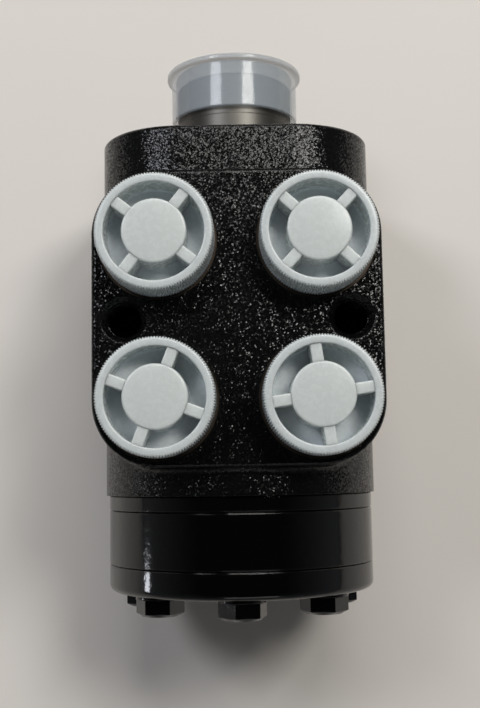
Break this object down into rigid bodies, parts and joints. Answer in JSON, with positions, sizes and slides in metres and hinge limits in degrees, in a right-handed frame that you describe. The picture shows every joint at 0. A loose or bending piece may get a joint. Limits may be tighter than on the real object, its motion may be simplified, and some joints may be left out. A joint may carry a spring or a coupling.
{
  "type": "orbital steering unit",
  "caption": "Hand-driven rotary steering valve with a gerotor metering set behind it, a plugged port block on top and a capped column spigot.",
  "frame": {"origin": "centre of the column mounting face, on the shaft axis", "axes": "+Y out of the column face along the steering column, +Z out of the port face, +X to the right seen from the port face with the column away"},
  "size_m": [0.088, 0.1795, 0.103],
  "materials": {
    "cast_paint": "black paint over rough sand-cast iron, machined areas left bare",
    "gloss_enamel": "thick glossy black enamel over turned steel",
    "ground_steel": "hardened and ground",
    "turned_steel": "turned, lightly oiled",
    "spring_steel": "blued spring steel",
    "nitrile": "smooth moulded rubber",
    "plug_polyethylene": "moulded natural polyethylene, slightly translucent",
    "cap_polyethylene": "thin translucent natural polyethylene"
  },
  "bodies": {
    "housing": {"housing": "cast_paint", "distributor_plate": "gloss_enamel", "gear_ring": "gloss_enamel", "end_cover": "gloss_enamel", "cover_screw_1": "gloss_enamel", "cover_screw_2": "gloss_enamel", "cover_screw_3": "gloss_enamel", "cover_screw_5": "gloss_enamel", "cover_screw_6": "gloss_enamel", "cover_screw_7": "gloss_enamel", "stop_screw": "gloss_enamel", "washer_1": "gloss_enamel", "washer_2": "gloss_enamel", "washer_3": "gloss_enamel", "washer_4": "gloss_enamel", "washer_5": "gloss_enamel", "washer_6": "gloss_enamel", "washer_7": "gloss_enamel", "stop_pin": "turned_steel", "check_bush": "turned_steel", "seal_housing": "nitrile", "seal_plate": "nitrile", "seal_cover": "nitrile", "dust_seal": "nitrile", "shaft_seal": "nitrile", "bearing_race_front": "ground_steel"},
    "sleeve": {"sleeve": "ground_steel", "cross_pin": "ground_steel", "spring_ring": "spring_steel", "leaf_springs": "spring_steel", "bearing_race_rear": "ground_steel"},
    "spool": {"spool": "ground_steel"},
    "needle_cage": {"needle_cage": "ground_steel"},
    "spacer": {"spacer": "turned_steel"},
    "rotor": {"rotor": "turned_steel"},
    "cardan_shaft": {"cardan_shaft": "turned_steel"},
    "check_ball": {"check_ball": "ground_steel"},
    "port_plug_left_front": {"port_plug_left_front": "plug_polyethylene"},
    "port_plug_right_front": {"port_plug_right_front": "plug_polyethylene"},
    "port_plug_left_rear": {"port_plug_left_rear": "plug_polyethylene"},
    "port_plug_right_rear": {"port_plug_right_rear": "plug_polyethylene"},
    "spigot_cap": {"spigot_cap": "cap_polyethylene"}
  },
  "joints": [
    {"name": "sleeve_spin", "type": "hinge", "parent": "housing", "child": "sleeve", "pos_m": [0, -0.06, 0], "axis": [0, 1, 0], "continuous": true},
    {"name": "spool_deflection", "type": "hinge", "parent": "sleeve", "child": "spool", "pos_m": [0, -0.06, 0], "axis": [0, 1, 0], "range_deg": [-10, 10], "stiffness_Nm_per_rad": 1, "deforming": ["leaf_springs"]},
    {"name": "needle_cage_spin", "type": "hinge", "parent": "housing", "child": "needle_cage", "pos_m": [0, -0.005, 0], "axis": [0, 1, 0], "continuous": true},
    {"name": "rotor_orbit", "type": "hinge", "parent": "housing", "child": "spacer", "pos_m": [0, -0.132, 0], "axis": [0, 1, 0], "continuous": true},
    {"name": "rotor_spin", "type": "hinge", "parent": "spacer", "child": "rotor", "pos_m": [0, -0.12507, -0.003], "axis": [0, 1, 0], "continuous": true},
    {"name": "cardan_spin", "type": "hinge", "parent": "spacer", "child": "cardan_shaft", "pos_m": [0, -0.033, 0], "axis": [0, 0.9995, 0.0326], "continuous": true},
    {"name": "check_ball_travel", "type": "slide", "parent": "housing", "child": "check_ball", "axis": [0, -1, 0], "range_m": [0, 0.0015]},
    {"name": "port_plug_left_front_removal", "type": "slide", "parent": "housing", "child": "port_plug_left_front", "axis": [0, 0, 1], "range_m": [0, 0.03]},
    {"name": "port_plug_right_front_removal", "type": "slide", "parent": "housing", "child": "port_plug_right_front", "axis": [0, 0, 1], "range_m": [0, 0.03]},
    {"name": "port_plug_left_rear_removal", "type": "slide", "parent": "housing", "child": "port_plug_left_rear", "axis": [0, 0, 1], "range_m": [0, 0.03]},
    {"name": "port_plug_right_rear_removal", "type": "slide", "parent": "housing", "child": "port_plug_right_rear", "axis": [0, 0, 1], "range_m": [0, 0.03]},
    {"name": "spigot_cap_removal", "type": "slide", "parent": "housing", "child": "spigot_cap", "axis": [0, 1, 0], "range_m": [0, 0.06]}
  ],
  "couplings": [
    {"joint": "needle_cage_spin", "follows": "sleeve_spin", "ratio": 0.5},
    {"joint": "rotor_orbit", "follows": "sleeve_spin", "ratio": -6},
    {"joint": "rotor_spin", "follows": "sleeve_spin", "ratio": 7},
    {"joint": "cardan_spin", "follows": "sleeve_spin", "ratio": 7}
  ]
}
